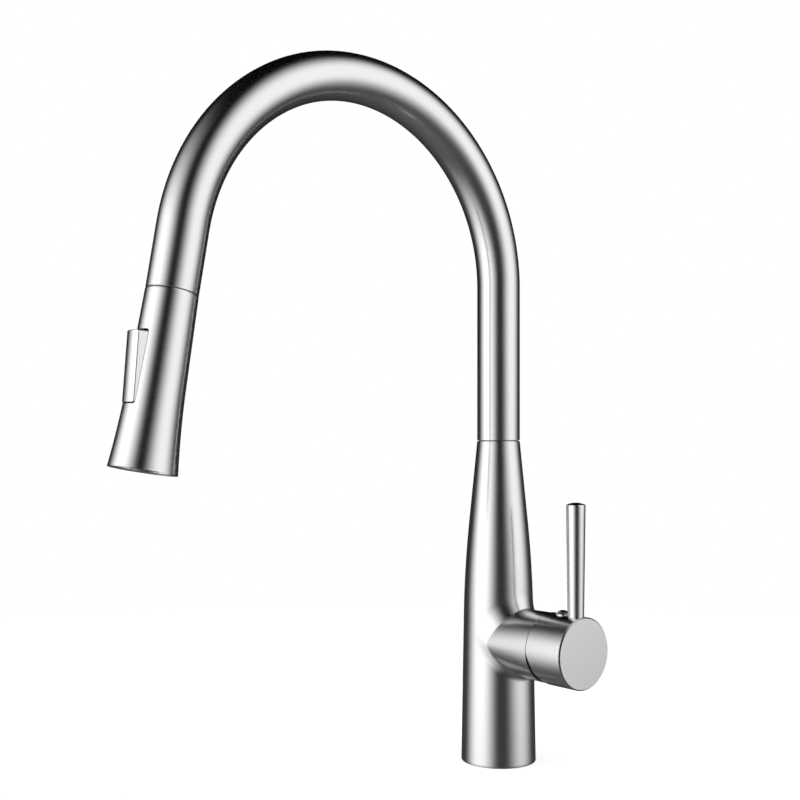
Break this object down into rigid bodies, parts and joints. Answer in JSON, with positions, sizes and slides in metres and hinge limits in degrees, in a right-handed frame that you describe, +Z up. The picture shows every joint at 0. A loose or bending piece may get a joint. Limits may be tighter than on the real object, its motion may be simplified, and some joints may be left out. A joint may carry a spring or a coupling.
{
  "type": "pull-down kitchen faucet",
  "caption": "Single-hole kitchen faucet with a gooseneck spout, a pull-down spray head with a rocker button, and a side lever that turns and tips to mix and meter the water.",
  "frame": {"origin": "on the deck under the middle of the body, at the underside of the base gasket", "axes": "+Z up along the body, -Y towards the outlet, +X along the handle"},
  "size_m": [0.1015, 0.301, 0.5485],
  "materials": {
    "satin_steel": "satin nickel-coloured stainless, fine brushed",
    "plain_steel": "machined",
    "black_steel": "black oxide",
    "brass": "machined",
    "rubber": "matte",
    "grey_plastic": "moulded",
    "black_plastic": "moulded",
    "white_plastic": "moulded",
    "ceramic_disc": "lapped",
    "magnet": "nickel plated",
    "braided_hose": "nylon braid"
  },
  "bodies": {
    "faucet_body": {"body_shell": "satin_steel", "deck_gasket": "rubber", "shank": "brass", "deck_rubber_washer": "rubber", "deck_steel_washer": "plain_steel", "mounting_nut": "brass", "clamp_screws": "plain_steel", "valve_block": "brass", "cartridge_base": "grey_plastic", "port_seals": "rubber", "fixed_disc": "ceramic_disc", "cartridge_housing": "grey_plastic", "cartridge_nut": "brass", "trim_dome": "satin_steel", "swivel_bushings": "white_plastic", "swivel_washer": "black_plastic"},
    "mixer": {"cartridge_rotor": "white_plastic", "stem_pin": "plain_steel"},
    "disc_set": {"moving_disc": "ceramic_disc", "disc_carrier": "white_plastic"},
    "handle": {"cartridge_stem": "plain_steel", "handle_knob": "satin_steel", "lever": "satin_steel", "lever_stud": "plain_steel", "handle_set_screw": "black_steel", "index_plug": "satin_steel"},
    "spout": {"gooseneck_tube": "satin_steel", "spout_journal": "brass", "journal_oring": "rubber", "spout_clip": "plain_steel", "dock_insert": "black_plastic", "dock_magnet": "magnet", "spray_hose": "braided_hose", "hose_coupling": "brass", "coupling_oring": "rubber"},
    "hose_end": {"hose_ferrule": "plain_steel", "hose_tailpiece": "brass"},
    "spray_head": {"hose_nut": "brass", "hose_washer": "rubber", "docking_collar": "grey_plastic", "keeper_ring": "plain_steel", "check_valve": "white_plastic", "spray_shell": "satin_steel", "head_core": "grey_plastic", "button_pin": "plain_steel", "spray_plate": "grey_plastic", "nozzle_mat": "rubber", "aerator_housing": "grey_plastic", "aerator_screens": "black_plastic"},
    "button": {"spray_button": "satin_steel"},
    "diverter": {"diverter_spool": "white_plastic", "spool_orings": "rubber"}
  },
  "joints": [
    {"name": "spout_swivel", "type": "hinge", "parent": "faucet_body", "child": "spout", "pos_m": [0, 0, 0.2094], "axis": [0, 0, 1], "range_deg": [-180, 180]},
    {"name": "handle_turn", "type": "hinge", "parent": "faucet_body", "child": "mixer", "pos_m": [0.039, 0, 0.0795], "axis": [1, 0, 0], "range_deg": [-45, 45]},
    {"name": "handle_tilt", "type": "hinge", "parent": "mixer", "child": "handle", "pos_m": [0.039, 0, 0.0795], "axis": [0, 1, 0], "range_deg": [0, 15]},
    {"name": "disc_slide", "type": "slide", "parent": "mixer", "child": "disc_set", "axis": [0, 0, 1], "range_m": [0, 0.0031]},
    {"name": "spray_pull", "type": "slide", "parent": "spout", "child": "hose_end", "axis": [0, -0.1771, -0.9842], "range_m": [0, 0.4], "stiffness_N_per_m": 2, "springref_m": -2.5, "deforming": ["spray_hose"]},
    {"name": "head_spin", "type": "hinge", "parent": "hose_end", "child": "spray_head", "pos_m": [0, -0.23917, 0.28753], "axis": [0, -0.1771, -0.9842], "continuous": true},
    {"name": "button_press", "type": "hinge", "parent": "spray_head", "child": "button", "pos_m": [0, -0.2557, 0.2397], "axis": [-1, 0, 0], "range_deg": [0, 8]},
    {"name": "diverter_slide", "type": "slide", "parent": "spray_head", "child": "diverter", "axis": [0, 0.9842, -0.1771], "range_m": [0, 0.0026]}
  ],
  "couplings": [
    {"joint": "disc_slide", "follows": "handle_tilt", "m_per_rad": 0.0104},
    {"joint": "diverter_slide", "follows": "button_press", "m_per_rad": 0.018}
  ]
}
